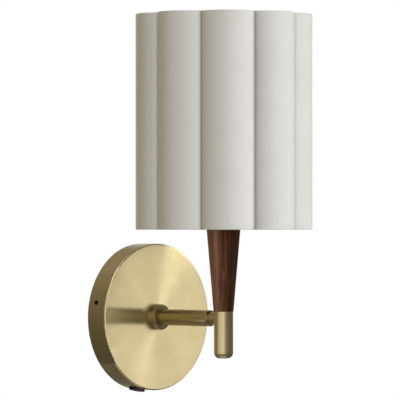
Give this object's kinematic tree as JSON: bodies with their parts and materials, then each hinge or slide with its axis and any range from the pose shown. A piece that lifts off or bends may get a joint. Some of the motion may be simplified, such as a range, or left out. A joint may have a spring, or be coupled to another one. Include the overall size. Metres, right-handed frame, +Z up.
{
  "type": "wall lamp",
  "caption": "Plug-in wall lamp: round brass backplate, short brass arm, tapered wooden stem and a lobed linen drum shade over an upright lampholder.",
  "frame": {"origin": "centre of the backplate on the wall", "axes": "+Y points into the wall, +Z is up along the stem, and the room lies towards -Y"},
  "size_m": [0.142, 0.1667, 0.3061],
  "materials": {
    "spun_brass": "satin, spun in fine rings",
    "turned_brass": "satin, turned",
    "walnut": "oiled, straight grain along the stem",
    "linen": "off-white plain weave",
    "shade_liner": "white, translucent",
    "white_wire": "white enamel",
    "zinc_steel": "zinc plated",
    "black_steel": "black oxide",
    "black_plastic": "moulded, matt",
    "white_plastic": "moulded",
    "contact_brass": "bright",
    "black_lead": "insulation",
    "white_lead": "insulation",
    "black_phenolic": "moulded, half gloss",
    "porcelain": "glazed",
    "opal_glass": "opal white",
    "nickel": "nickel plated",
    "black_glass": "dark glass"
  },
  "bodies": {
    "base": {"mounting_plate": "zinc_steel", "canopy": "spun_brass", "canopy_rim": "spun_brass", "canopy_screws": "black_steel", "cord_bushing": "black_plastic", "bushing_nut": "black_plastic", "terminal_block": "white_plastic", "terminal_screws": "contact_brass", "terminal_fixing_screw": "zinc_steel", "arm_nipple": "zinc_steel", "arm_nut": "zinc_steel", "arm_washer": "zinc_steel", "collar": "turned_brass", "arm_tube": "turned_brass", "arm_neck": "turned_brass", "ferrule": "turned_brass", "lamp_pipe": "zinc_steel", "stem": "walnut", "stem_washer": "turned_brass", "stem_nut": "zinc_steel", "live_lead": "black_lead", "neutral_lead": "white_lead", "holder_cap": "black_phenolic", "holder_core": "porcelain", "holder_terminals": "contact_brass", "holder_contact": "contact_brass", "holder_screw_shell": "contact_brass", "holder_sleeve": "black_phenolic"},
    "shade": {"shade_skin": "linen", "shade_liner": "shade_liner", "shade_top_ring": "white_wire", "shade_bottom_ring": "white_wire", "fitter_ring": "white_wire", "fitter_spokes": "white_wire"},
    "ring": {"shade_ring": "black_phenolic"},
    "bulb": {"bulb_globe": "opal_glass", "bulb_cap": "nickel", "bulb_insulator": "black_glass", "bulb_contact": "contact_brass"}
  },
  "joints": [
    {"name": "shade_lift", "type": "slide", "parent": "base", "child": "shade", "axis": [0, 0, 1], "range_m": [0, 0.12]},
    {"name": "ring_turn", "type": "hinge", "parent": "shade", "child": "ring", "pos_m": [0, -0.095, 0.12], "axis": [0, 0, 1], "range_deg": [0, 1150]},
    {"name": "bulb_turn", "type": "hinge", "parent": "base", "child": "bulb", "pos_m": [0, -0.095, 0.13], "axis": [0, 0, 1], "range_deg": [0, 1800]}
  ]
}
